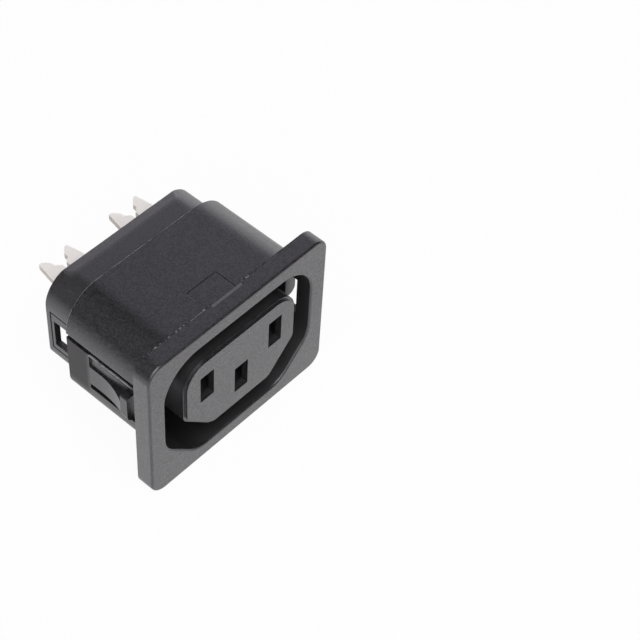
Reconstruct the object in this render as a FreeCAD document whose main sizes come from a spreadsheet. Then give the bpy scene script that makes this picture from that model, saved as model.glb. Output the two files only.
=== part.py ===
import FreeCAD, Part
import math
import os
import Sketcher
from FreeCAD import Placement, Rotation, Vector

# Snap-in panel power outlet: one moulded housing and three stamped contacts.
# Millimetres. The origin is the centre of the flange's back face, which lies on the panel.
# X runs to the right seen from the front, Y towards the rear and Z up.

DRIVING_SIZES = {
    # flange in front of the panel
    "flange_width": 36.0,
    "flange_height": 28.0,
    "flange_depth": 3.0,
    "flange_corner": 2.6,
    "front_edge": 0.4,
    # body behind the panel, with round top corners and cut-off bottom corners
    "body_half_width": 16.1,
    "body_half_height": 12.3,
    "body_length": 15.8,
    "body_corner": 6.5,
    "body_chamfer": 7.5,
    "body_ease": 3.0,
    "body_edge": 0.15,
    "body_wall": 1.15,
    # narrower rear end that a cover slides over
    "spigot_step": 1.45,
    "spigot_length": 5.65,
    "spigot_wall": 1.05,
    "spigot_ease": 2.4,
    "lead_length": 1.4,
    "lead_depth": 0.22,
    # recess for the plug's collar and the floor behind it
    "recess_depth": 15.0,
    "recess_bottom": 11.3,
    "recess_corner": 6.6,
    "recess_chamfer": 6.1,
    "recess_ease": 5.0,
    "floor_depth": 1.5,
    "chamber_ease": 1.6,
    # boss that carries the three slots, with a lower rim round its face
    "boss_half_width": 11.45,
    "boss_top": 8.2,
    "boss_bottom": 7.5,
    "boss_corner": 4.2,
    "boss_chamfer": 5.4,
    "boss_ease": 2.0,
    "rim_width": 0.45,
    "rim_drop": 0.15,
    "face_proud": 0.25,
    "face_wall": 1.2,
    # slots and the contact chambers behind them
    "slot_width": 2.7,
    "slot_height": 5.3,
    "pole_offset": 7.0,
    "pole_height": 2.3,
    "earth_height": -1.7,
    "chamber_half_width": 2.7,
    "chamber_above": 3.4,
    "chamber_below": 3.2,
    # window and sprung tongue in each side wall
    "window_front": -0.25,
    "window_rear": 11.15,
    "window_top": 4.7,
    "window_bottom": -2.5,
    "window_depth": 2.0,
    "groove_bottom": 4.95,
    "groove_top": 5.95,
    "groove_depth": 0.55,
    "tongue_root_face": 15.75,
    "tongue_free_face": 15.85,
    "tongue_sheet": 0.65,
    "tongue_root": 12.6,
    "tongue_top": 4.0,
    "tongue_bottom": -1.4,
    "hook_front": 2.2,
    "hook_rear": 3.6,
    "hook_reach": 17.4,
    "hook_top": 3.7,
    "hook_bottom": -1.6,
    "hook_round": 1.4,
    "hook_nose": 0.3,
    "ramp_start": 9.0,
    "ramp_top": 2.3,
    "bevel_inner": 15.9,
    "bevel_outer": 17.7,
    "bevel_bottom": -1.7,
    "bevel_top": 0.3,
    # window in each side of the rear end, framed by a fine groove
    "side_hole_front": 15.95,
    "side_hole_rear": 19.95,
    "side_hole_top": 3.75,
    "side_hole_bottom": -1.4,
    "frame_front": 16.7,
    "frame_rear": 20.7,
    "frame_top": 5.4,
    "frame_bottom": -2.5,
    "frame_line": 0.25,
    "frame_depth": 0.35,
    # tool mark on the top and the notch in line with it on the flange
    "mark_half_width": 2.95,
    "mark_length": 4.8,
    "mark_line": 0.14,
    "mark_depth": 0.15,
    "notch_half_width": 3.1,
    "notch_length": 0.7,
    "notch_drop": 0.38,
    # contacts: sheet, channel, sprung leaves and wire fork
    "sheet": 1.0,
    "bridge_height": 2.77,
    "bridge_front": 5.0,
    "channel_half_width": 2.2,
    "barb_front": 9.5,
    "barb_tip": 11.2,
    "barb_rear": 11.7,
    "leaf_length": 2.9,
    "leaf_bend": 6.0,
    "leaf_pinch": 2.4,
    "leaf_mouth": 0.4,
    "pinch_half_gap": 0.85,
    "mouth_half_gap": 1.45,
    "leaf_curve": 1.6,
    "fold_radius": 0.7,
    "fork_half_width": 3.5,
    "fork_taper": 24.0,
    "fork_tip": 28.25,
    "tip_half_width": 2.75,
    "mouth_outer": 2.25,
    "mouth_middle": 1.3,
    "mouth_step": 27.25,
    "mouth_inner": 26.5,
    "wire_slot_start": 25.8,
    "wire_slot_end": 20.5,
    "wire_slot_half_width": 0.42,
    "wire_slot_round": 0.4,
}

CHAMFER_SHRINK = 2 - math.sqrt(2)
NEAR = 1e-4

document = FreeCAD.newDocument("panel_outlet")
sheet = document.addObject("Spreadsheet::Sheet", "Sizes")
for row, (alias, number) in enumerate(DRIVING_SIZES.items(), start=1):
    sheet.set(f"A{row}", alias.replace("_", " "))
    sheet.set(f"B{row}", str(number))
    sheet.setAlias(f"B{row}", alias)
document.recompute()


class Size:
    """A length worked out from the sheet, with the expression that binds it."""

    def __init__(self, value, text):
        self.value = value
        self.text = text

    def __add__(self, other):
        return Size(self.value + other.value, f"({self.text} + {other.text})")

    def __sub__(self, other):
        return Size(self.value - other.value, f"({self.text} - {other.text})")

    def __mul__(self, factor):
        return Size(self.value * factor, f"({self.text} * {factor!r})")

    def __neg__(self):
        return self * -1


def size(alias):
    """The named dimension of the sheet."""
    return Size(float(sheet.get(alias)), f"Sizes.{alias}")


NONE = size("flange_depth") - size("flange_depth")
FRONT = -size("flange_depth")
FACE_REAR = FRONT - size("face_proud") + size("face_wall")
FLOOR_FRONT = size("recess_depth") - size("flange_depth")
FLOOR_REAR = FLOOR_FRONT + size("floor_depth")
REAR = size("body_length") + size("spigot_length")


# Sketches

def new_sketch(body, name, role, offset):
    """An empty sketch on one of the body's own planes, moved along the plane's normal."""
    plane = next(feature for feature in body.Origin.OriginFeatures if feature.Role == role)
    sketch = body.newObject("Sketcher::SketchObject", name)
    sketch.AttachmentSupport = [(plane, "")]
    sketch.MapMode = "FlatFace"
    sketch.setExpression("AttachmentOffset.Base.z", offset.text)
    return sketch


def cross_sketch(body, name, depth):
    """A sketch of X and Z at a depth along Y: the plane's normal points to the front."""
    return new_sketch(body, name, "XZ_Plane", -depth)


def plan_sketch(body, name, height):
    """A sketch of X and Y at a height along Z."""
    return new_sketch(body, name, "XY_Plane", height)


def side_sketch(body, name, across):
    """A sketch of Y and Z at a place along X."""
    return new_sketch(body, name, "YZ_Plane", across)


def constrain(sketch, plain, sized):
    """Adds the plain constraints, then the sized ones with their expressions."""
    sketch.addConstraint(plain)
    for kind, targets, length in sized:
        index = sketch.addConstraint(Sketcher.Constraint(kind, *targets, length.value))
        sketch.setExpression(f"Constraints[{index}]", length.text)


def corner_ends(previous, corner, following, radius):
    """Where a rounded corner's arc leaves its two sides, and the arc's centre."""
    back = (previous - corner).normalize()
    ahead = (following - corner).normalize()
    half_angle = back.getAngle(ahead) / 2
    reach = radius / math.tan(half_angle)
    middle = (back + ahead).normalize()
    centre = corner + middle * (radius / math.sin(half_angle))
    return corner + back * reach, corner + ahead * reach, centre


def outline(sketch, corners):
    """A closed outline. Each corner is (across, up) or (across, up, radius), all Sizes."""
    count = len(corners)
    points = [Vector(corner[0].value, corner[1].value, 0) for corner in corners]
    entries = []
    exits = []
    centres = []
    for index, corner in enumerate(corners):
        entry = points[index]
        leave = points[index]
        centre = None
        if len(corner) == 3:
            following = points[(index + 1) % count]
            entry, leave, centre = corner_ends(points[index - 1], points[index], following, corner[2].value)
        entries.append(entry)
        exits.append(leave)
        centres.append(centre)
    sides = []
    for index in range(count):
        line = Part.LineSegment(exits[index], entries[(index + 1) % count])
        sides.append(sketch.addGeometry(line, False))
    plain = []
    sized = []
    for index, corner in enumerate(corners):
        before = sides[index - 1]
        after = sides[index]
        if centres[index] is None:
            plain.append(Sketcher.Constraint("Coincident", before, 2, after, 1))
            sized.append(("DistanceX", (after, 1), corner[0]))
            sized.append(("DistanceY", (after, 1), corner[1]))
            continue
        start = entries[index] - centres[index]
        end = exits[index] - centres[index]
        left_turn = start.cross(end).z > 0
        first, last = (start, end) if left_turn else (end, start)
        circle = Part.Circle(centres[index], Vector(0, 0, 1), corner[2].value)
        angles = [math.atan2(arm.y, arm.x) for arm in (first, last)]
        arc = sketch.addGeometry(Part.ArcOfCircle(circle, *angles), False)
        vertex = sketch.addGeometry(Part.Point(points[index]), True)
        plain.append(Sketcher.Constraint("Tangent", before, 2, arc, 1 if left_turn else 2))
        plain.append(Sketcher.Constraint("Tangent", after, 1, arc, 2 if left_turn else 1))
        plain.append(Sketcher.Constraint("PointOnObject", vertex, 1, before))
        plain.append(Sketcher.Constraint("PointOnObject", vertex, 1, after))
        sized.append(("DistanceX", (vertex, 1), corner[0]))
        sized.append(("DistanceY", (vertex, 1), corner[1]))
        sized.append(("Radius", (arc,), corner[2]))
    constrain(sketch, plain, sized)


def rectangle(sketch, left, right, bottom, top):
    """A plain rectangle between four Sizes."""
    outline(sketch, [(left, bottom), (right, bottom), (right, top), (left, top)])


def keyed_outline(sketch, half_width, top, bottom, corner, chamfer, ease):
    """The outlet's outline: round top corners, bottom corners cut off at 45 degrees."""
    right_side = [
        (half_width - chamfer, bottom, ease),
        (half_width, bottom + chamfer, ease),
        (half_width, top, corner),
    ]
    left_side = [(-across, up, radius) for across, up, radius in reversed(right_side)]
    outline(sketch, right_side + left_side)


def body_outline(sketch, inset, ease):
    """The body's outline, drawn in by an even distance."""
    half_height = size("body_half_height") - inset
    keyed_outline(
        sketch,
        size("body_half_width") - inset,
        half_height,
        -half_height,
        size("body_corner") - inset,
        size("body_chamfer") - inset * CHAMFER_SHRINK,
        ease,
    )


def boss_outline(sketch, inset):
    """The boss's outline, drawn in by an even distance."""
    keyed_outline(
        sketch,
        size("boss_half_width") - inset,
        size("boss_top") - inset,
        -size("boss_bottom") + inset,
        size("boss_corner") - inset,
        size("boss_chamfer") - inset * CHAMFER_SHRINK,
        size("boss_ease") - inset,
    )


# Features

def pad(body, sketch, length, against_normal=False):
    """Adds material from the sketch, along its normal or against it."""
    feature = body.newObject("PartDesign::Pad", sketch.Name + "_pad")
    feature.Profile = sketch
    feature.Reversed = against_normal
    feature.setExpression("Length", length.text)
    document.recompute()
    return feature


def pocket(body, sketch, length, along_normal=False, both_ways=False):
    """Cuts from the sketch, against its normal or along it, and checks that it cut."""
    before = body.Shape.Volume
    feature = body.newObject("PartDesign::Pocket", sketch.Name + "_cut")
    feature.Profile = sketch
    feature.Reversed = along_normal
    if both_ways:
        feature.SideType = "Symmetric"
    feature.setExpression("Length", length.text)
    document.recompute()
    if feature.Shape.Volume > before - NEAR:
        raise RuntimeError(f"{feature.Name} cut nothing")
    return feature


def mirror(body, name, features):
    """Repeats the features on the other side of the body's YZ plane."""
    plane = next(item for item in body.Origin.OriginFeatures if item.Role == "YZ_Plane")
    feature = body.newObject("PartDesign::Mirrored", name)
    feature.Originals = features
    feature.MirrorPlane = (plane, [""])
    body.Tip = feature
    document.recompute()
    return feature


def edge_names(shape, edges):
    """The names under which a shape lists the given edges."""
    return [
        f"Edge{index}"
        for index, candidate in enumerate(shape.Edges, start=1)
        if any(candidate.isSame(edge) for edge in edges)
    ]


def flat_face(feature, depth):
    """The widest flat face across Y at the given depth."""
    flat = []
    for face in feature.Shape.Faces:
        box = face.BoundBox
        if box.YLength < NEAR and abs(box.YMin - depth.value) < NEAR:
            flat.append(face)
    return max(flat, key=lambda face: face.BoundBox.DiagonalLength)


def round_edges(body, name, feature, names, radius):
    """Rounds the named edges of the last feature."""
    fillet = body.newObject("PartDesign::Fillet", name)
    fillet.Base = (feature, names)
    fillet.setExpression("Radius", radius.text)
    document.recompute()
    return fillet


def bevel_edges(body, name, feature, names, width):
    """Bevels the named edges of the last feature."""
    chamfer = body.newObject("PartDesign::Chamfer", name)
    chamfer.Base = (feature, names)
    chamfer.setExpression("Size", width.text)
    document.recompute()
    return chamfer


# Housing

def housing_shell(body):
    """Flange, body and rear end, hollowed from the front and from the rear."""
    flange = cross_sketch(body, "flange", NONE)
    across = size("flange_width") * 0.5
    up = size("flange_height") * 0.5
    corner = size("flange_corner")
    outline(flange, [
        (across, -up, corner),
        (across, up, corner),
        (-across, up, corner),
        (-across, -up, corner),
    ])
    pad(body, flange, size("flange_depth"))

    main = cross_sketch(body, "main_body", NONE)
    body_outline(main, NONE, size("body_ease"))
    pad(body, main, size("body_length"), against_normal=True)

    spigot = cross_sketch(body, "spigot", size("body_length"))
    body_outline(spigot, size("spigot_step"), size("spigot_ease"))
    pad(body, spigot, size("spigot_length"), against_normal=True)

    # The recess leaves the boss standing in its middle.
    recess = cross_sketch(body, "recess", FRONT)
    keyed_outline(
        recess,
        size("body_half_width") - size("body_wall"),
        size("body_half_height") - size("body_wall"),
        -size("recess_bottom"),
        size("recess_corner"),
        size("recess_chamfer"),
        size("recess_ease"),
    )
    boss_outline(recess, NONE)
    pocket(body, recess, size("recess_depth"))

    face = cross_sketch(body, "boss_face", FRONT)
    boss_outline(face, size("rim_width"))
    pad(body, face, size("face_proud"))

    rim = cross_sketch(body, "boss_rim", FRONT)
    boss_outline(rim, NONE)
    boss_outline(rim, size("rim_width"))
    pocket(body, rim, size("rim_drop"))

    wire_space = cross_sketch(body, "wire_space", REAR)
    body_outline(wire_space, size("spigot_step") + size("spigot_wall"), size("chamber_ease"))
    last = pocket(body, wire_space, REAR - FLOOR_REAR, along_normal=True)

    front_face = flat_face(last, FRONT)
    front_edges = edge_names(last.Shape, front_face.Edges)
    last = round_edges(body, "front_edge", last, front_edges, size("front_edge"))
    step_edges = edge_names(last.Shape, flat_face(last, size("body_length")).OuterWire.Edges)
    bevel_edges(body, "step_edge", last, step_edges, size("body_edge"))

    # The top and bottom of the rear end slope in, to lead a cover on.
    lead = side_sketch(body, "lead_in", NONE)
    spigot_top = size("body_half_height") - size("spigot_step")
    lead_end = spigot_top - size("lead_depth")
    lead_start = REAR - size("lead_length")
    outline(lead, [(lead_start, spigot_top), (REAR, lead_end), (REAR, spigot_top)])
    outline(lead, [(lead_start, -spigot_top), (REAR, -lead_end), (REAR, -spigot_top)])
    pocket(body, lead, size("body_half_width") * 2, both_ways=True)


def contact_places():
    """Across, height and which way up of each pole: the earth contact is upside down."""
    pole = size("pole_offset")
    return {
        "line": (-pole, size("pole_height"), 1),
        "neutral": (pole, size("pole_height"), 1),
        "earth": (NONE, size("earth_height"), -1),
    }


def housing_slots(body):
    """A slot in the boss's face and a chamber behind it for each contact."""
    slots = cross_sketch(body, "slots", FRONT)
    chambers = cross_sketch(body, "chambers", FLOOR_REAR)
    half_slot_width = size("slot_width") * 0.5
    half_slot_height = size("slot_height") * 0.5
    half_width = size("chamber_half_width")
    for across, height, way_up in contact_places().values():
        slot_sides = (across - half_slot_width, across + half_slot_width)
        rectangle(slots, *slot_sides, height - half_slot_height, height + half_slot_height)
        bridge_side = height + size("chamber_above") * way_up
        leaf_side = height - size("chamber_below") * way_up
        bottom, top = sorted((bridge_side, leaf_side), key=lambda level: level.value)
        rectangle(chambers, across - half_width, across + half_width, bottom, top)
    pocket(body, slots, size("face_wall") * 2, both_ways=True)
    pocket(body, chambers, FLOOR_REAR - FACE_REAR, along_normal=True)


def tongue(body):
    """Sprung tongue at the right: leaf, ramp and hook."""
    root = size("tongue_root")
    front = size("hook_front")
    rear = size("hook_rear")
    sheet_depth = size("tongue_sheet")
    root_face = size("tongue_root_face")
    free_face = size("tongue_free_face")
    reach = size("hook_reach")
    leaf = plan_sketch(body, "leaf", size("tongue_bottom"))
    outline(leaf, [
        (root_face, root),
        (root_face - sheet_depth, root),
        (free_face - sheet_depth, front),
        (free_face, front),
    ])
    leaf_pad = pad(body, leaf, size("tongue_top") - size("tongue_bottom"))

    hook = cross_sketch(body, "hook", front)
    hook_inner = free_face - sheet_depth
    outline(hook, [
        (hook_inner, size("hook_bottom")),
        (reach, size("hook_bottom"), size("hook_round")),
        (reach, size("hook_top"), size("hook_nose")),
        (hook_inner, size("hook_top")),
    ])
    hook_pad = pad(body, hook, rear - front, against_normal=True)

    # The ramp's face leaves the side of the body tangent to it and curves out to the hook.
    side = size("body_half_width")
    start = size("ramp_start")
    rise = reach.value - side.value
    run = start.value - rear.value
    radius = (rise * rise + run * run) / (2 * rise)
    centre = Vector(side.value + radius, start.value, 0)
    corners = [
        Vector(reach.value, rear.value, 0),
        Vector(hook_inner.value, rear.value, 0),
        Vector(hook_inner.value, root.value, 0),
        Vector(side.value, root.value, 0),
        Vector(side.value, start.value, 0),
    ]
    ramp = plan_sketch(body, "ramp", size("hook_bottom"))
    for first, second in zip(corners, corners[1:]):
        ramp.addGeometry(Part.LineSegment(first, second), False)
    end_angle = math.atan2(rear.value - start.value, reach.value - centre.x)
    circle = Part.Circle(centre, Vector(0, 0, 1), radius)
    curve = ramp.addGeometry(Part.ArcOfCircle(circle, math.pi, end_angle + 2 * math.pi), False)
    across, back, along, flush = range(4)
    constrain(
        ramp,
        [
            Sketcher.Constraint("Coincident", across, 2, back, 1),
            Sketcher.Constraint("Coincident", back, 2, along, 1),
            Sketcher.Constraint("Coincident", along, 2, flush, 1),
            Sketcher.Constraint("Tangent", flush, 2, curve, 1),
            Sketcher.Constraint("Coincident", curve, 2, across, 1),
            Sketcher.Constraint("Horizontal", across),
            Sketcher.Constraint("Vertical", back),
            Sketcher.Constraint("Horizontal", along),
            Sketcher.Constraint("Vertical", flush),
        ],
        [
            ("DistanceX", (across, 1), reach),
            ("DistanceY", (across, 1), rear),
            ("DistanceX", (back, 1), hook_inner),
            ("DistanceY", (along, 1), root),
            ("DistanceX", (flush, 1), side),
            ("DistanceY", (flush, 2), start),
        ],
    )
    ramp_pad = pad(body, ramp, size("ramp_top") - size("hook_bottom"))

    bevel = cross_sketch(body, "ramp_bevel", rear)
    outline(bevel, [
        (size("bevel_inner"), size("bevel_bottom")),
        (size("bevel_outer"), size("bevel_bottom")),
        (size("bevel_outer"), size("bevel_top")),
    ])
    bevel_cut = pocket(body, bevel, size("window_rear") - rear)
    return [leaf_pad, hook_pad, ramp_pad, bevel_cut]


def housing_sides(body):
    """Windows, grooves and sprung tongues of the right side, then the same at the left."""
    side = size("body_half_width")
    window = side_sketch(body, "window", side)
    rectangle(window, size("window_front"), size("window_rear"), size("window_bottom"), size("window_top"))
    features = [pocket(body, window, size("window_depth"))]

    groove = side_sketch(body, "groove", side)
    rectangle(groove, NONE, size("body_length"), size("groove_bottom"), size("groove_top"))
    features.append(pocket(body, groove, size("groove_depth")))

    spigot_side = side - size("spigot_step")
    frame = side_sketch(body, "side_frame", spigot_side)
    line = size("frame_line")
    front = size("frame_front")
    rear = size("frame_rear")
    bottom = size("frame_bottom")
    top = size("frame_top")
    rectangle(frame, front, rear, bottom, top)
    rectangle(frame, front + line, rear - line, bottom + line, top - line)
    features.append(pocket(body, frame, size("frame_depth")))

    hole = side_sketch(body, "side_hole", spigot_side)
    rectangle(
        hole,
        size("side_hole_front"),
        size("side_hole_rear"),
        size("side_hole_bottom"),
        size("side_hole_top"),
    )
    features.append(pocket(body, hole, size("window_depth")))
    features.extend(tongue(body))
    mirror(body, "both_sides", features)


def housing_marks(body):
    """Tool mark on the top and the notch in the flange's edge in line with it."""
    half = size("mark_half_width")
    length = size("mark_length")
    line = size("mark_line")
    mark = plan_sketch(body, "tool_mark", size("body_half_height"))
    outline(mark, [
        (half, NONE),
        (half, length),
        (-half, length),
        (-half, NONE),
        (line - half, NONE),
        (line - half, length - line),
        (half - line, length - line),
        (half - line, NONE),
    ])
    pocket(body, mark, size("mark_depth"))

    top = size("flange_height") * 0.5
    notch = side_sketch(body, "flange_notch", NONE)
    outline(notch, [(-size("notch_length"), top), (NONE, top - size("notch_drop")), (NONE, top)])
    pocket(body, notch, size("notch_half_width") * 2, both_ways=True)


def make_housing():
    """The moulded housing, one piece with its boss and its sprung tongues."""
    body = document.addObject("PartDesign::Body", "housing")
    body.Label = "housing"
    housing_shell(body)
    housing_slots(body)
    housing_sides(body)
    housing_marks(body)
    return body


# Contacts

def fork_half():
    """Right half of the flat outline, from the bridge's front to the end of the wire slot."""
    channel = size("channel_half_width")
    wall = size("chamber_half_width")
    slot = size("wire_slot_half_width")
    return [
        (channel, size("bridge_front")),
        (channel, size("barb_front")),
        (wall, size("barb_tip")),
        (wall, size("barb_rear")),
        (channel, size("barb_rear")),
        (channel, FLOOR_REAR),
        (size("fork_half_width"), FLOOR_REAR),
        (size("fork_half_width"), size("fork_taper")),
        (size("tip_half_width"), size("fork_tip")),
        (size("mouth_outer"), size("fork_tip")),
        (size("mouth_middle"), size("mouth_step")),
        (size("mouth_middle"), size("mouth_inner")),
        (slot, size("wire_slot_start")),
        (slot, size("wire_slot_end"), size("wire_slot_round")),
    ]


def make_contact(label, across, height, turn):
    """One stamping: a wire fork, a bridge, and two sprung leaves folded down from it."""
    body = document.addObject("PartDesign::Body", label)
    body.Label = label
    underside = size("bridge_height") - size("sheet") * 0.5

    flat = plan_sketch(body, label + "_flat", underside)
    right = fork_half()
    left = [(-corner[0], *corner[1:]) for corner in reversed(right)]
    outline(flat, right + left)
    pad(body, flat, size("sheet"))

    inner = size("channel_half_width") - size("sheet")
    strip = [
        (inner, size("barb_front")),
        (inner, size("leaf_bend"), size("leaf_curve")),
        (size("pinch_half_gap"), size("leaf_pinch"), size("leaf_curve")),
        (size("mouth_half_gap"), size("leaf_mouth")),
    ]
    outer_strip = [(corner[0] + size("sheet"), *corner[1:]) for corner in reversed(strip)]
    leaf = plan_sketch(body, label + "_leaf", underside)
    outline(leaf, strip + outer_strip)
    leaf_pad = pad(body, leaf, underside + size("leaf_length"), against_normal=True)
    both = mirror(body, label + "_leaves", [leaf_pad])

    folds = []
    for edge in both.Shape.Edges:
        box = edge.BoundBox
        on_top = abs(box.ZMin - underside.value - size("sheet").value) < NEAR and box.ZLength < NEAR
        on_side = abs(abs(box.Center.x) - size("channel_half_width").value) < NEAR and box.XLength < NEAR
        if on_top and on_side and box.YMin < size("leaf_bend").value:
            folds.append(edge)
    round_edges(body, label + "_folds", both, edge_names(both.Shape, folds), size("fold_radius"))

    body.Placement = Placement(Vector(), Rotation(Vector(0, 1, 0), turn))
    body.setExpression("Placement.Base.x", across.text)
    body.setExpression("Placement.Base.z", height.text)
    document.recompute()
    return body


def make_contacts():
    """The three contacts, each in its own chamber."""
    contacts = []
    for pole, (across, height, way_up) in contact_places().items():
        turn = 0 if way_up > 0 else 180
        contacts.append(make_contact(pole + "_contact", across, height, turn))
    return contacts


# Build, check and write

pieces = [make_housing()] + make_contacts()
document.recompute()
for item in document.Objects:
    if "Invalid" in item.State or "Error" in item.State:
        raise RuntimeError(f"{item.Name} failed: {item.State}")
for piece in pieces:
    if piece.Shape.isNull() or not piece.Shape.isValid() or len(piece.Shape.Solids) != 1:
        raise RuntimeError(f"{piece.Label} is not one valid solid")

os.makedirs("parts", exist_ok=True)
for piece in pieces:
    piece.Shape.exportStep(os.path.join("parts", piece.Label + ".step"))
    print(f"{piece.Label}: one solid of {piece.Shape.Volume:.0f} mm3")
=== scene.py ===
# %% [markdown]
# Snap-in panel power socket
#
# The real object is a black moulded housing with a flange of 36 by 28 mm, and three stamped contacts that
# are pushed in from behind. Its shape and size are settled already, so this lesson loads the finished solids
# and gives them what solids lack: softened edges, a moulded finish, a metal finish, light and a camera.

# %% Load the solids
import bmesh
import bpy
import math
from mathutils import Matrix, Vector


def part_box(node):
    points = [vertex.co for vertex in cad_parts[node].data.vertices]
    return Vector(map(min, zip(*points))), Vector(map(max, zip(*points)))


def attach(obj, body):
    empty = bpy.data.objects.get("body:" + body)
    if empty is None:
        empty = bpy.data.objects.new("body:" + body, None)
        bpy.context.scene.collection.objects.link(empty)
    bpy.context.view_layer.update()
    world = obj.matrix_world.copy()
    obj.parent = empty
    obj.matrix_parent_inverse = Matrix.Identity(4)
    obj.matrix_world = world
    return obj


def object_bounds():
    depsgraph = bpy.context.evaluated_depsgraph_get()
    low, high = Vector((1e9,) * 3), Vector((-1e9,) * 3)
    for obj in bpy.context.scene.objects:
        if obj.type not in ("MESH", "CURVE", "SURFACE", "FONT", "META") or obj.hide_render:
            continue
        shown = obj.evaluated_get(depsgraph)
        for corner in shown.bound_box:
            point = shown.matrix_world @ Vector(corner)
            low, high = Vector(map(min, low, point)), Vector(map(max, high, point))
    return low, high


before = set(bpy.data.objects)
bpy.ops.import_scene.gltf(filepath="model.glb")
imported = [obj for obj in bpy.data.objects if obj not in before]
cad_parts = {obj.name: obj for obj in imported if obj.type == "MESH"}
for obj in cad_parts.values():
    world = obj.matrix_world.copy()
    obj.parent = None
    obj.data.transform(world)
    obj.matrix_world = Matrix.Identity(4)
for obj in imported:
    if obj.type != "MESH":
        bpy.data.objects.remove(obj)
cad_low, cad_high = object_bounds()
MM = 0.001
print("loaded", sorted(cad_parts), "box in mm", (cad_high - cad_low) / MM)

# %% [markdown]
# The camera
#
# A product picture of this kind is taken with a long lens from above the left front corner, so that the
# face, the left side and the top all show. The camera could be aimed with a constraint, but here its place,
# its line of sight and its small roll are written down as directions, which keeps it still and easy to read.

# %% Camera
CAMERA_PLACE = Vector((-119.46, -113.34, 202.50)) * MM
CAMERA_RIGHT = Vector((0.66787, -0.74286, 0.04597))
CAMERA_UP = Vector((0.54716, 0.53192, 0.64628))
FOCAL_LENGTH = 101.443
SENSOR_WIDTH = 36.0
NEAREST_SEEN = 0.01
FARTHEST_SEEN = 20.0


def make_camera():
    """A still camera with a long lens."""
    lens = bpy.data.cameras.new("product_camera")
    lens.lens = FOCAL_LENGTH
    lens.sensor_width = SENSOR_WIDTH
    lens.clip_start = NEAREST_SEEN
    lens.clip_end = FARTHEST_SEEN
    camera = bpy.data.objects.new("product_camera", lens)
    bpy.context.scene.collection.objects.link(camera)
    back = CAMERA_RIGHT.cross(CAMERA_UP)
    turn = Matrix((CAMERA_RIGHT, CAMERA_UP, back)).transposed().to_4x4()
    camera.matrix_world = Matrix.Translation(CAMERA_PLACE) @ turn
    bpy.context.scene.camera = camera
    return camera


camera = make_camera()
print("camera looks from", [round(value / MM) for value in camera.location], "mm")

# %% [markdown]
# Node helpers
#
# Floor, room, plastic and metal are all trees of nodes. Such a tree can be wired by hand in the shader
# editor. In a script the same few moves come again and again, such as adding a node, linking two sockets or
# working out a number, so each of them gets a short helper.

# %% Node helpers
def new_tree(owner):
    """An empty node tree on a material or a world."""
    owner.use_nodes = True
    owner.node_tree.nodes.clear()
    return owner.node_tree


def add_node(tree, kind, inputs=None, **properties):
    """Adds a node and sets its inputs, by name or number, and its properties."""
    node = tree.nodes.new(kind)
    for name, value in properties.items():
        setattr(node, name, value)
    for name, value in (inputs or {}).items():
        node.inputs[name].default_value = value
    return node


def join(tree, source, target):
    """Links an output to an input."""
    tree.links.new(source, target)


def math_node(tree, operation, first, second):
    """A math node whose two inputs are outputs or plain numbers."""
    node = add_node(tree, "ShaderNodeMath", operation=operation)
    for slot, value in enumerate((first, second)):
        if isinstance(value, (int, float)):
            node.inputs[slot].default_value = value
        else:
            join(tree, value, node.inputs[slot])
    return node.outputs[0]


def split_axes(tree, source):
    """A vector's X, Y and Z as outputs."""
    axes = add_node(tree, "ShaderNodeSeparateXYZ")
    join(tree, source, axes.inputs[0])
    return axes.outputs


print("helpers are written for Blender 4.5 and run in", bpy.app.version_string)

# %% [markdown]
# The floor
#
# The socket stands on a white sweep. The upright faces of black plastic look grey because they mirror that
# floor. A lit matte floor would come out grey itself, so it shows itself as paper white to the camera and to
# reflections, with a trace of real shadow kept. Far out on the left, reflections see it fade, as paper does
# away from the lamps.

# %% Floor
FLOOR_REACH = 4.0
FLOOR_COLOUR = (0.9, 0.9, 0.9, 1.0)
PAPER_SHARE = 0.95
PAPER_START = -65.0 * MM
PAPER_END = -180.0 * MM
PAPER_FADE = 0.35


def mirrored_rays(tree, path):
    """A mask of 1 for rays that come by a reflection or through something clear."""
    return math_node(tree, "MAXIMUM", path.outputs["Is Glossy Ray"], path.outputs["Is Transmission Ray"])


def blend_shaders(tree, share, first, second):
    """The second shader in a given share over the first."""
    mix = add_node(tree, "ShaderNodeMixShader")
    join(tree, share, mix.inputs["Fac"])
    join(tree, first.outputs[0], mix.inputs[1])
    join(tree, second.outputs[0], mix.inputs[2])
    return mix.outputs[0]


def floor_material():
    """White paper: matte under the lamps, and paper white to the camera and to reflections."""
    material = bpy.data.materials.new("white_sweep")
    tree = new_tree(material)
    matte = add_node(tree, "ShaderNodeBsdfDiffuse", {"Color": FLOOR_COLOUR})
    place = add_node(tree, "ShaderNodeTexCoord")
    axes = split_axes(tree, place.outputs["Object"])
    fade_limits = {"From Min": PAPER_END, "From Max": PAPER_START, "To Min": PAPER_FADE}
    fade = add_node(tree, "ShaderNodeMapRange", fade_limits)
    join(tree, axes["X"], fade.inputs["Value"])
    path = add_node(tree, "ShaderNodeLightPath")
    white = math_node(tree, "MAXIMUM", fade.outputs["Result"], path.outputs["Is Camera Ray"])
    paper = add_node(tree, "ShaderNodeEmission")
    join(tree, white, paper.inputs["Color"])
    seen = math_node(tree, "MAXIMUM", path.outputs["Is Camera Ray"], mirrored_rays(tree, path))
    share = math_node(tree, "MULTIPLY", seen, PAPER_SHARE)
    output = add_node(tree, "ShaderNodeOutputMaterial")
    join(tree, blend_shaders(tree, share, matte, paper), output.inputs["Surface"])
    return material


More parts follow.
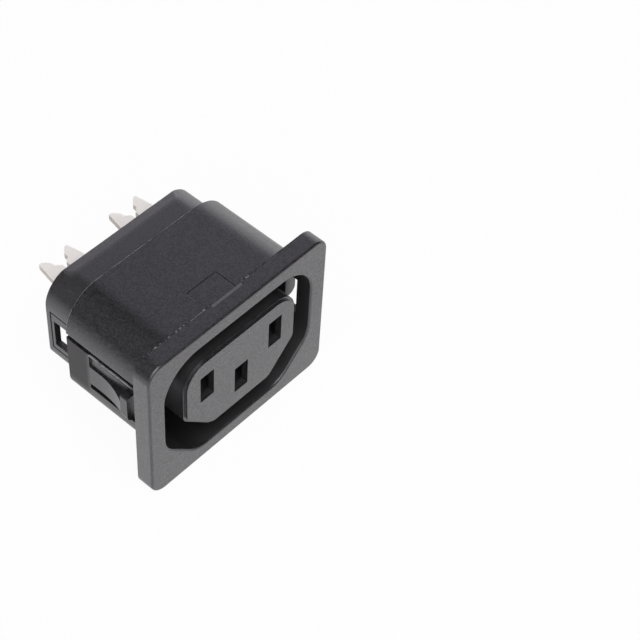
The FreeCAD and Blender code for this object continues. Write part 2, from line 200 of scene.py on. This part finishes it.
def make_floor():
    """A flat sweep at the height of the flange's lower edge."""
    mesh = bpy.data.meshes.new("floor")
    height = cad_low.z
    quarters = ((-1, -1), (1, -1), (1, 1), (-1, 1))
    corners = [(x * FLOOR_REACH, y * FLOOR_REACH, height) for x, y in quarters]
    mesh.from_pydata(corners, [], [(0, 1, 2, 3)])
    mesh.materials.append(floor_material())
    floor = bpy.data.objects.new("floor", mesh)
    bpy.context.scene.collection.objects.link(floor)
    return floor


floor = make_floor()
print(floor.name, "at", round(cad_low.z / MM, 2), "mm")

# %% [markdown]
# Lamps and room
#
# Black plastic shows mostly what it mirrors, so the lamps are large soft boxes, each standing where some
# face of the socket mirrors it. One strong lamp would be simpler, but it would leave hard spots. The room is
# dim, with a white backdrop. The camera sees the backdrop all round. Reflections see only a low band of it,
# so that the faces that point upwards still mirror the dim room and stay black.

# %% Room
ROOM_GREY = (0.03, 0.03, 0.03, 1.0)
BACKDROP_WHITE = (1.0, 1.0, 1.0, 1.0)
BACKDROP_RISE = 0.05


def make_room():
    """A dim even room with a white backdrop."""
    world = bpy.data.worlds.new("room")
    bpy.context.scene.world = world
    tree = new_tree(world)
    walls = add_node(tree, "ShaderNodeBackground", {"Color": ROOM_GREY})
    backdrop = add_node(tree, "ShaderNodeBackground", {"Color": BACKDROP_WHITE})
    direction = add_node(tree, "ShaderNodeTexCoord")
    axes = split_axes(tree, direction.outputs["Generated"])
    low = math_node(tree, "LESS_THAN", axes["Z"], BACKDROP_RISE)
    path = add_node(tree, "ShaderNodeLightPath")
    mirrored_low = math_node(tree, "MULTIPLY", mirrored_rays(tree, path), low)
    seen = math_node(tree, "MAXIMUM", path.outputs["Is Camera Ray"], mirrored_low)
    output = add_node(tree, "ShaderNodeOutputWorld")
    join(tree, blend_shaders(tree, seen, walls, backdrop), output.inputs["Surface"])


make_room()
bpy.context.scene.view_settings.view_transform = "Standard"
print("reflections see the backdrop up to", round(math.degrees(math.asin(BACKDROP_RISE)), 1), "degrees")

# %% Lamps
LAMP_DISTANCE = 800.0 * MM
SMALL_BOX = 500.0 * MM
WIDE_BOX = 800.0 * MM
WIDEST_BOX = 1000.0 * MM
NEUTRAL = (1.0, 1.0, 1.0)
COOL = (0.95, 0.95, 1.10)
LAMPS = (
    ("right_softbox", (0.92, 0.40, 0.08), WIDE_BOX, 1.25, NEUTRAL),
    ("rear_sweep", (0.45, 0.87, 0.12), WIDE_BOX, 0.50, COOL),
    ("top_softbox", (-0.15, -0.30, 0.94), SMALL_BOX, 2.9, NEUTRAL),
    ("camera_softbox", (-0.50, -0.41, 0.76), WIDEST_BOX, 1.8, NEUTRAL),
    ("rear_fill", (0.50, 0.41, 0.76), SMALL_BOX, 0.41, COOL),
    ("left_fill", (-0.76, 0.41, 0.50), SMALL_BOX, 0.20, COOL),
)


def make_lamp(name, direction, side, level, colour):
    """A square soft box that faces the part. Its level is its face's brightness, with paper white as 1."""
    light = bpy.data.lights.new(name, "AREA")
    light.shape = "SQUARE"
    light.size = side
    light.energy = level * math.pi * side * side
    light.color = colour
    lamp = bpy.data.objects.new(name, light)
    lamp.location = Vector(direction).normalized() * LAMP_DISTANCE
    lamp.rotation_euler = lamp.location.to_track_quat("Z", "Y").to_euler()
    bpy.context.scene.collection.objects.link(lamp)


for lamp_row in LAMPS:
    make_lamp(*lamp_row)
print("lamps", [lamp_row[0] for lamp_row in LAMPS])

# %% [markdown]
# Moulded grain
#
# The mould was spark eroded, which leaves a fine pepper of pits in the plastic. A picture could be wrapped
# round the part, but noise read from the object's own coordinates has no seams and stays the same size on
# every face. The same grain is wanted on more than one finish, so it is a node group with its fineness as an
# input. A second, far broader noise lets gloss and colour wander.

# %% Grain group
PITS_PER_METRE = 3600.0
FINE_DETAIL = 2.0
FINE_ROUGHNESS = 0.6
BROAD_DETAIL = 3.0
BROAD_SHARE = 0.02


def grain_group():
    """Fine pits and a broad unevenness, as masks from 0 to 1."""
    group = bpy.data.node_groups.new("moulded_grain", "ShaderNodeTree")
    scale = group.interface.new_socket("Pits per metre", in_out="INPUT", socket_type="NodeSocketFloat")
    scale.default_value = PITS_PER_METRE
    group.interface.new_socket("Fine", in_out="OUTPUT", socket_type="NodeSocketFloat")
    group.interface.new_socket("Broad", in_out="OUTPUT", socket_type="NodeSocketFloat")
    pits = add_node(group, "NodeGroupInput").outputs["Pits per metre"]
    place = add_node(group, "ShaderNodeTexCoord").outputs["Object"]
    fine = add_node(group, "ShaderNodeTexNoise", {"Detail": FINE_DETAIL, "Roughness": FINE_ROUGHNESS})
    join(group, place, fine.inputs["Vector"])
    join(group, pits, fine.inputs["Scale"])
    broad = add_node(group, "ShaderNodeTexNoise", {"Detail": BROAD_DETAIL})
    join(group, place, broad.inputs["Vector"])
    join(group, math_node(group, "MULTIPLY", pits, BROAD_SHARE), broad.inputs["Scale"])
    leave = add_node(group, "NodeGroupOutput")
    join(group, fine.outputs["Fac"], leave.inputs["Fine"])
    join(group, broad.outputs["Fac"], leave.inputs["Broad"])
    return group


def grain_node(tree, pits):
    """The outputs of the grain group, placed in a material with its own fineness."""
    return add_node(tree, "ShaderNodeGroup", {"Pits per metre": pits}, node_tree=GRAIN).outputs


GRAIN = grain_group()
print("grain group with", [item.name for item in GRAIN.interface.items_tree])

# %% [markdown]
# Places on the housing
#
# One moulding does not look the same all over. The front faces have a finer and paler grain and the recess is
# duller. Some places also get painted light: a paler colour in the recess and on one side of the mark's
# groove as painted fill light, a paler slope that leads a cover onto the rear end as a painted reflection,
# pale strokes and specks on some edges as painted highlights, and a broken dark line along the flange's rear
# edge as painted shade. Vertex paint could mark these places, but the part's own coordinates mark them more
# exactly.
# So a second group turns a table of limits into masks.

# %% Place limits
FLANGE_FRONT = (-3.02, -2.98)
FLANGE_SIDE = 17.98
BOSS_FRONT = -3.23
LIMITS = {
    "Rear end": {"depth": (15.8, None)},
    "Lead-in": {"tall": (10.6, None)},
    "Recess": {
        "depth": (-2.6, 12.3),
        "across": (None, 15.4),
        "tall": (None, 11.5),
        "top corner": (None, 24.0),
        "bottom corner": (None, 20.2),
    },
    "Chambers": {
        "depth": (-2.9, None),
        "across": (None, 10.3),
        "tall": (None, 6.3),
        "bottom corner": (None, 13.0),
    },
    "Rear edge": {
        "depth": (15.62, 15.83),
        "side": (None, 9.0),
        "height": (6.0, None),
        "rounding": (6.36, None),
    },
    "Flange edge": {"depth": (-0.20, 0.02), "height": (13.94, None)},
    "Left half": {"side": (None, 5.0)},
    "Mark line": {"side": (-3.3, -2.7), "depth": (0.5, 4.7), "height": (12.0, 12.29)},
    "Notch end": {"side": (3.06, 3.14), "depth": (-0.75, None), "height": (13.5, 13.98)},
    "Lip": {"across": (15.9, None), "depth": (0.1, 11.2), "height": (4.6, 4.99)},
    "Plate": {"across": (16.05, None), "depth": (None, 15.8), "height": (None, 4.95)},
}
SOFT_STARTS = {
    "Lead-in": {"depth": (19.4, 20.2)},
    "Plate": {"depth": (11.0, 11.9), "height": (-4.4, -2.6)},
}
print("limits in millimetres for", list(LIMITS))

# %% Place measures
ROUNDING_ACROSS = 9.6
ROUNDING_HEIGHT = 5.8
SQUARE_ROOT = 0.5


def past(tree, source, start):
    """How far the source is past a start in millimetres, and 0 before it."""
    beyond = math_node(tree, "SUBTRACT", source, start * MM)
    return math_node(tree, "MAXIMUM", beyond, 0.0)


def place_measures(tree):
    """The measures that the limits speak of, as outputs."""
    place = add_node(tree, "ShaderNodeTexCoord")
    axes = split_axes(tree, place.outputs["Object"])
    across = math_node(tree, "ABSOLUTE", axes["X"], 0.0)
    corner_across = past(tree, across, ROUNDING_ACROSS)
    corner_up = past(tree, axes["Z"], ROUNDING_HEIGHT)
    across_squared = math_node(tree, "MULTIPLY", corner_across, corner_across)
    up_squared = math_node(tree, "MULTIPLY", corner_up, corner_up)
    squares = math_node(tree, "ADD", across_squared, up_squared)
    return {
        "side": axes["X"],
        "depth": axes["Y"],
        "height": axes["Z"],
        "across": across,
        "tall": math_node(tree, "ABSOLUTE", axes["Z"], 0.0),
        "top corner": math_node(tree, "ADD", across, axes["Z"]),
        "bottom corner": math_node(tree, "SUBTRACT", across, axes["Z"]),
        "rounding": math_node(tree, "POWER", squares, SQUARE_ROOT),
    }


PLACES = bpy.data.node_groups.new("housing_places", "ShaderNodeTree")
for place_name in ("Front", *LIMITS):
    PLACES.interface.new_socket(place_name, in_out="OUTPUT", socket_type="NodeSocketFloat")
measures = place_measures(PLACES)
print("measures of a place", list(measures))


# %% Place masks
def below(tree, source, limit):
    """A mask of 1 where the source is under a limit in millimetres."""
    return math_node(tree, "LESS_THAN", source, limit * MM)


def above(tree, source, limit):
    """A mask of 1 where the source is over a limit in millimetres."""
    return math_node(tree, "GREATER_THAN", source, limit * MM)


def rising(tree, source, start, end):
    """A mask that rises from 0 to 1 between two limits in millimetres."""
    slope = add_node(tree, "ShaderNodeMapRange", {"From Min": start * MM, "From Max": end * MM})
    join(tree, source, slope.inputs["Value"])
    return slope.outputs["Result"]


def all_of(tree, masks):
    """A mask of 1 where every mask is 1."""
    result = masks[0]
    for mask in masks[1:]:
        result = math_node(tree, "MULTIPLY", result, mask)
    return result


def front_mask(tree):
    """The flange's front and outer sides, and the boss's front."""
    flush_low, flush_high = FLANGE_FRONT
    depth = measures["depth"]
    flush = all_of(tree, [above(tree, depth, flush_low), below(tree, depth, flush_high)])
    flange_faces = math_node(tree, "MAXIMUM", flush, above(tree, measures["across"], FLANGE_SIDE))
    return math_node(tree, "MAXIMUM", flange_faces, below(tree, depth, BOSS_FRONT))


def limit_mask(tree, place_name):
    """One place's mask, from its sharp limits and its soft ones."""
    masks = []
    for measure, (low, high) in LIMITS[place_name].items():
        if low is not None:
            masks.append(above(tree, measures[measure], low))
        if high is not None:
            masks.append(below(tree, measures[measure], high))
    for measure, (start, end) in SOFT_STARTS.get(place_name, {}).items():
        masks.append(rising(tree, measures[measure], start, end))
    return all_of(tree, masks)


mask_outputs = add_node(PLACES, "NodeGroupOutput").inputs
join(PLACES, front_mask(PLACES), mask_outputs["Front"])
for place_name in LIMITS:
    join(PLACES, limit_mask(PLACES, place_name), mask_outputs[place_name])
print("place masks", [item.name for item in PLACES.interface.items_tree])

# %% [markdown]
# Black moulding
#
# The housing is most likely filled nylon: nearly black, with a grain that scatters the reflections. It could
# have one flat black and a bump, but then the light alone would have to show the pits. Here colour and bump
# come from the same fine grain, so a pit is at once a little darker and a little lower. The masks then lay
# the other finishes over the body's, and with them painted light: painted fill light, a painted reflection,
# painted highlights and painted shade. Real moulded edges are never knife sharp, and the Bevel node rounds
# them in the shading alone, so that the solid keeps its size.

# %% Grained colours
FACE_PITS_PER_METRE = 4800.0
BODY_LEVELS = (0.40, 0.60)
FACE_LEVELS = (0.42, 0.58)
GENTLE_LEVELS = (0.35, 0.65)
BLACK_DARK = (0.0, 0.0, 0.0, 1.0)
BLACK_LIGHT = (0.0270, 0.0254, 0.0280, 1.0)
FACE_DARK = (0.0040, 0.0038, 0.0039, 1.0)
FACE_LIGHT = (0.0660, 0.0630, 0.0647, 1.0)
REAR_DARK = (0.0090, 0.0085, 0.0092, 1.0)
REAR_LIGHT = (0.0356, 0.0337, 0.0368, 1.0)
# The lead-in slope's paler colour is a painted reflection of the bright surroundings behind the part.
LEAD_REFLECTION_DARK = (0.0460, 0.0439, 0.0465, 1.0)
LEAD_REFLECTION_LIGHT = (0.0740, 0.0706, 0.0745, 1.0)
# The recess's colour sits a little above the body's black, as painted fill light in the deep recess.
RECESS_FILL_DARK = (0.013, 0.0124, 0.0128, 1.0)
RECESS_FILL_LIGHT = (0.019, 0.0182, 0.0188, 1.0)


def ramp_between(tree, source, levels, first, second):
    """Maps a mask between two levels to two colours or greys."""
    ramp = add_node(tree, "ShaderNodeValToRGB")
    for stop, level, colour in zip(ramp.color_ramp.elements, levels, (first, second)):
        stop.position = level
        stop.color = colour
    join(tree, source, ramp.inputs["Fac"])
    return ramp.outputs["Color"]


moulding = bpy.data.materials.new("black_moulding")
moulding_tree = new_tree(moulding)
grain = grain_node(moulding_tree, PITS_PER_METRE)
face_grain = grain_node(moulding_tree, FACE_PITS_PER_METRE)
body_colour = ramp_between(moulding_tree, grain["Fine"], BODY_LEVELS, BLACK_DARK, BLACK_LIGHT)
face_colour = ramp_between(moulding_tree, face_grain["Fine"], FACE_LEVELS, FACE_DARK, FACE_LIGHT)
rear_colour = ramp_between(moulding_tree, grain["Fine"], GENTLE_LEVELS, REAR_DARK, REAR_LIGHT)
lead_painted_reflection = ramp_between(moulding_tree, grain["Fine"], GENTLE_LEVELS, LEAD_REFLECTION_DARK, LEAD_REFLECTION_LIGHT)
recess_painted_fill = ramp_between(moulding_tree, grain["Fine"], GENTLE_LEVELS, RECESS_FILL_DARK, RECESS_FILL_LIGHT)
print("grained colours in", moulding.name, "with", len(moulding_tree.nodes), "nodes")

# %% Painted edge highlights and shade
# A coarse noise breaks thin pale painted highlights along the lip, the body's rear step edge and the left
# half of the flange's rear edge, and a broken black line of painted shade along the flange's rear edge.
DASH_NOISE_PER_METRE = 1500.0
DASH_LEVELS = (0.40, 0.56)
SPECK_LEVELS = (0.53, 0.60)
SHADE_LEVELS = (0.46, 0.52)


def grey(level):
    """An opaque grey."""
    return (level, level, level, 1.0)


NO_MASK = grey(0.0)
FULL_MASK = grey(1.0)
places = add_node(moulding_tree, "ShaderNodeGroup", node_tree=PLACES).outputs
dash_noise = grain_node(moulding_tree, DASH_NOISE_PER_METRE)
dashes = ramp_between(moulding_tree, dash_noise["Fine"], DASH_LEVELS, NO_MASK, FULL_MASK)
specks = ramp_between(moulding_tree, dash_noise["Fine"], SPECK_LEVELS, NO_MASK, FULL_MASK)
shade_strokes = ramp_between(moulding_tree, dash_noise["Fine"], SHADE_LEVELS, FULL_MASK, NO_MASK)
lip_highlight = all_of(moulding_tree, [places["Lip"], dashes])
rear_edge_highlight = all_of(moulding_tree, [places["Rear edge"], dashes])
flange_highlight = all_of(moulding_tree, [places["Flange edge"], specks, places["Left half"]])
# Painted shade: a broken black line where the body's top meets the flange's rear edge.
flange_shade = all_of(moulding_tree, [places["Flange edge"], shade_strokes])
print("painted highlights and shade bring", moulding.name, "to", len(moulding_tree.nodes), "nodes")

# %% Moulding colour
CHAMBER_BLACK = (0.024, 0.022, 0.022, 1.0)
PLATE_BROWN = (0.0080, 0.0064, 0.0054, 1.0)
HIGHLIGHT_GREY = (0.26, 0.25, 0.26, 1.0)
# The lip's grey is a painted highlight along the window's top edge. The notch end takes the same grey.
LIP_GREY = (0.10, 0.096, 0.098, 1.0)
# Painted fill light: a paler grey on one side of the mark's groove, against the shade in it.
MARK_FILL_GREY = (0.08, 0.076, 0.08, 1.0)
SHADE_BLACK = (0.0, 0.0, 0.0, 1.0)
MIX_BASE = 6
MIX_COVER = 7
MIX_RESULT = 2


def lay_over(tree, mask, base, cover):
    """Lays one colour over another where a mask is 1. The cover is an output or a plain colour."""
    mix = add_node(tree, "ShaderNodeMix", data_type="RGBA")
    join(tree, mask, mix.inputs["Factor"])
    join(tree, base, mix.inputs[MIX_BASE])
    if isinstance(cover, tuple):
        mix.inputs[MIX_COVER].default_value = cover
    else:
        join(tree, cover, mix.inputs[MIX_COVER])
    return mix.outputs[MIX_RESULT]


def lay_all(tree, base, covers):
    """Lays several covers over a base in their order, each where its mask is 1."""
    for mask, cover in covers:
        base = lay_over(tree, mask, base, cover)
    return base


# Painted light among these covers: the recess and the mark line are painted fill light, the lead-in is a
# painted reflection, the lip and the pale edge strokes are painted highlights, and the flange's black is
# painted shade.
colour_covers = (
    (places["Front"], face_colour),
    (places["Rear end"], rear_colour),
    (places["Lead-in"], lead_painted_reflection),
    (places["Recess"], recess_painted_fill),
    (places["Chambers"], CHAMBER_BLACK),
    (places["Plate"], PLATE_BROWN),
    (places["Lip"], LIP_GREY),
    (lip_highlight, HIGHLIGHT_GREY),
    (places["Mark line"], MARK_FILL_GREY),
    (places["Notch end"], LIP_GREY),
    (flange_shade, SHADE_BLACK),
    (rear_edge_highlight, HIGHLIGHT_GREY),
    (flange_highlight, HIGHLIGHT_GREY),
)
moulding_colour = lay_all(moulding_tree, body_colour, colour_covers)
print(len(colour_covers), "colours laid over the body's black")

# %% Moulding roughness
BROAD_LEVELS = (0.3, 0.7)
BODY_ROUGHNESS = (0.33, 0.37)
FACE_ROUGHNESS = (0.24, 0.32)
RECESS_ROUGHNESS = 0.5
CHAMBER_ROUGHNESS = 0.4
PLATE_ROUGHNESS = 0.66
SHADE_ROUGHNESS = 1.0


def wandering(tree, source, roughness):
    """A roughness that wanders between two values as a mask does."""
    glossier, duller = roughness
    return ramp_between(tree, source, BROAD_LEVELS, grey(glossier), grey(duller))


body_roughness = wandering(moulding_tree, grain["Broad"], BODY_ROUGHNESS)
face_roughness = wandering(moulding_tree, face_grain["Broad"], FACE_ROUGHNESS)
roughness_covers = (
    (places["Front"], face_roughness),
    (places["Recess"], grey(RECESS_ROUGHNESS)),
    (places["Chambers"], grey(CHAMBER_ROUGHNESS)),
    (places["Plate"], grey(PLATE_ROUGHNESS)),
    (flange_shade, grey(SHADE_ROUGHNESS)),
)
moulding_roughness = lay_all(moulding_tree, body_roughness, roughness_covers)
print(len(roughness_covers), "kinds of gloss laid over the body's")

# %% Moulded edges and pits
PLASTIC_IOR = 1.85
PLASTIC_TINT = (0.98, 0.95, 1.0, 1.0)
EDGE_ROUNDING = 0.06 * MM
EDGE_SAMPLES = 12
PIT_STRENGTH = 0.35
PIT_DEPTH = 0.03 * MM


def show(tree, shader):
    """Makes a shader the surface of its material."""
    output = add_node(tree, "ShaderNodeOutputMaterial")
    join(tree, shader.outputs[0], output.inputs["Surface"])


def dress(node, material):
    """Gives a CAD node one material."""
    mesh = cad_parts[node].data
    mesh.materials.clear()
    mesh.materials.append(material)


rounded = add_node(moulding_tree, "ShaderNodeBevel", {"Radius": EDGE_ROUNDING}, samples=EDGE_SAMPLES)
pitted = add_node(moulding_tree, "ShaderNodeBump", {"Strength": PIT_STRENGTH, "Distance": PIT_DEPTH})
join(moulding_tree, rounded.outputs["Normal"], pitted.inputs["Normal"])
join(moulding_tree, grain["Fine"], pitted.inputs["Height"])
plastic_values = {"IOR": PLASTIC_IOR, "Specular Tint": PLASTIC_TINT}
plastic = add_node(moulding_tree, "ShaderNodeBsdfPrincipled", plastic_values)
join(moulding_tree, moulding_colour, plastic.inputs["Base Color"])
join(moulding_tree, moulding_roughness, plastic.inputs["Roughness"])
join(moulding_tree, pitted.outputs["Normal"], plastic.inputs["Normal"])
show(moulding_tree, plastic)
dress("housing", moulding)
print("housing dressed in", moulding.name, "with", len(moulding_tree.nodes), "nodes")

# %% [markdown]
# Tinned contacts
#
# The contacts are stamped from brass strip that was tinned first, so the broad faces are a soft pale grey
# and the cut edges show a darker metal. A full Metallic would mirror the dim room and turn the forks dark.
# Matte tin scatters most of the light, so it is a pale base with only a little Metallic. The Geometry node's
# True Normal tells a broad face from a cut edge, and the leaves deep in the chambers get painted shade, a
# dark brown.

# %% Contact finish
TIN_PITS_PER_METRE = 1800.0
TIN_DARK = (0.96, 0.912, 0.872, 1.0)
TIN_LIGHT = (1.0, 0.952, 0.912, 1.0)
TIN_ROUGHNESS = (0.42, 0.58)
TIN_METALLIC = 0.2
CUT_BRASS = (0.66, 0.60, 0.54, 1.0)
CUT_SLOPE = 0.6
# Dark brown painted shade on the leaves that lie deep in the chambers.
LEAF_SHADE_BROWN = (0.060, 0.050, 0.035, 1.0)
LEAF_SHADE_END = 13.6 * MM


def contact_material():
    """Matte tin plate with darker cut edges, and dark brown painted shade on the leaves deep in the chambers.
    """
    material = bpy.data.materials.new("tin_plate")
    tree = new_tree(material)
    tin_grain = grain_node(tree, TIN_PITS_PER_METRE)
    tin = ramp_between(tree, tin_grain["Broad"], BROAD_LEVELS, TIN_DARK, TIN_LIGHT)
    shape = add_node(tree, "ShaderNodeNewGeometry")
    facing = split_axes(tree, shape.outputs["True Normal"])
    level = math_node(tree, "ABSOLUTE", facing["Z"], 0.0)
    cut = math_node(tree, "LESS_THAN", level, CUT_SLOPE)
    place = add_node(tree, "ShaderNodeTexCoord")
    axes = split_axes(tree, place.outputs["Object"])
    shaded_leaves = math_node(tree, "LESS_THAN", axes["Y"], LEAF_SHADE_END)
    colour = lay_all(tree, tin, ((cut, CUT_BRASS), (shaded_leaves, LEAF_SHADE_BROWN)))
    metal = add_node(tree, "ShaderNodeBsdfPrincipled", {"Metallic": TIN_METALLIC})
    join(tree, colour, metal.inputs["Base Color"])
    join(tree, wandering(tree, tin_grain["Fine"], TIN_ROUGHNESS), metal.inputs["Roughness"])
    show(tree, metal)
    return material


CONTACTS = {"line_contact": 1.0, "neutral_contact": 1.0, "earth_contact": -1.0}
TIN = contact_material()
for contact in CONTACTS:
    dress(contact, TIN)
print("contacts dressed", list(CONTACTS))

# %% [markdown]
# Back tabs
#
# Something closes the chamber behind the plug's pin, so deep that only a look straight into a slot finds it.
# The likely thing, and a guess, is a tab of the contact itself, folded over behind its sprung leaves. It is
# one bent strip. It could be a box with a bevel, but an outline of its side view with two arcs, pushed
# across to the width of the contact with bmesh, keeps the sheet equally thick round the bend. It lies within
# the leaves' painted shade, so it shows as a dark brown sheet that keeps the slot dark.

# %% Tab outline
TAB_SHEET = 0.6 * MM
TAB_FRONT = 10.6 * MM
TAB_REAR = 13.3 * MM
TAB_BEND = 1.0 * MM
TAB_LENGTH = 5.45 * MM
BEND_STEPS = 6
QUARTER_TURN = math.radians(90.0)


def bend(radius):
    """Depth and drop of points along the bend's quarter turn, from the flat leg to the upright one."""
    points = []
    for step in range(BEND_STEPS + 1):
        angle = QUARTER_TURN * step / BEND_STEPS
        depth = TAB_REAR - TAB_BEND + radius * math.sin(angle)
        drop = TAB_BEND - radius * math.cos(angle)
        points.append((depth, drop))
    return points


def tab_outline():
    """The tab seen from the side, as depth and drop from the contact's flat face."""
    outer = [(TAB_FRONT, 0.0), *bend(TAB_BEND), (TAB_REAR, TAB_LENGTH)]
    inner_bend = bend(TAB_BEND - TAB_SHEET)
    inner = [(TAB_FRONT, TAB_SHEET), *inner_bend, (TAB_REAR - TAB_SHEET, TAB_LENGTH)]
    return outer + inner[::-1]


outline = tab_outline()
print("tab outline of", len(outline), "points")

# %% Back tabs
CONTACT_SHEET = 1.0 * MM
TAB_HALF_WIDTH = 2.2 * MM


def make_tab(contact, way_up):
    """A folded tab under one contact's flat face, which ends just clear of the chamber's wall."""
    low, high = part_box(contact)
    flat_face = high.z - CONTACT_SHEET if way_up > 0 else low.z + CONTACT_SHEET
    middle = (low.x + high.x) / 2
    shape = bmesh.new()
    rows = []
    for side in (-TAB_HALF_WIDTH, TAB_HALF_WIDTH):
        corners = [(middle + side, depth, flat_face - way_up * drop) for depth, drop in outline]
        row = [shape.verts.new(corner) for corner in corners]
        shape.faces.new(row)
        rows.append(row)
    left, right = rows
    for index in range(len(outline)):
        shape.faces.new((left[index - 1], left[index], right[index], right[index - 1]))
    bmesh.ops.recalc_face_normals(shape, faces=shape.faces)
    mesh = bpy.data.meshes.new(contact.replace("contact", "back_tab"))
    shape.to_mesh(mesh)
    shape.free()
    mesh.materials.append(TIN)
    tab = bpy.data.objects.new(mesh.name, mesh)
    bpy.context.scene.collection.objects.link(tab)
    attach(tab, "root")
    return tab


for contact, way_up in CONTACTS.items():
    tab = make_tab(contact, way_up)
    print(tab.name, "with", len(tab.data.polygons), "faces")
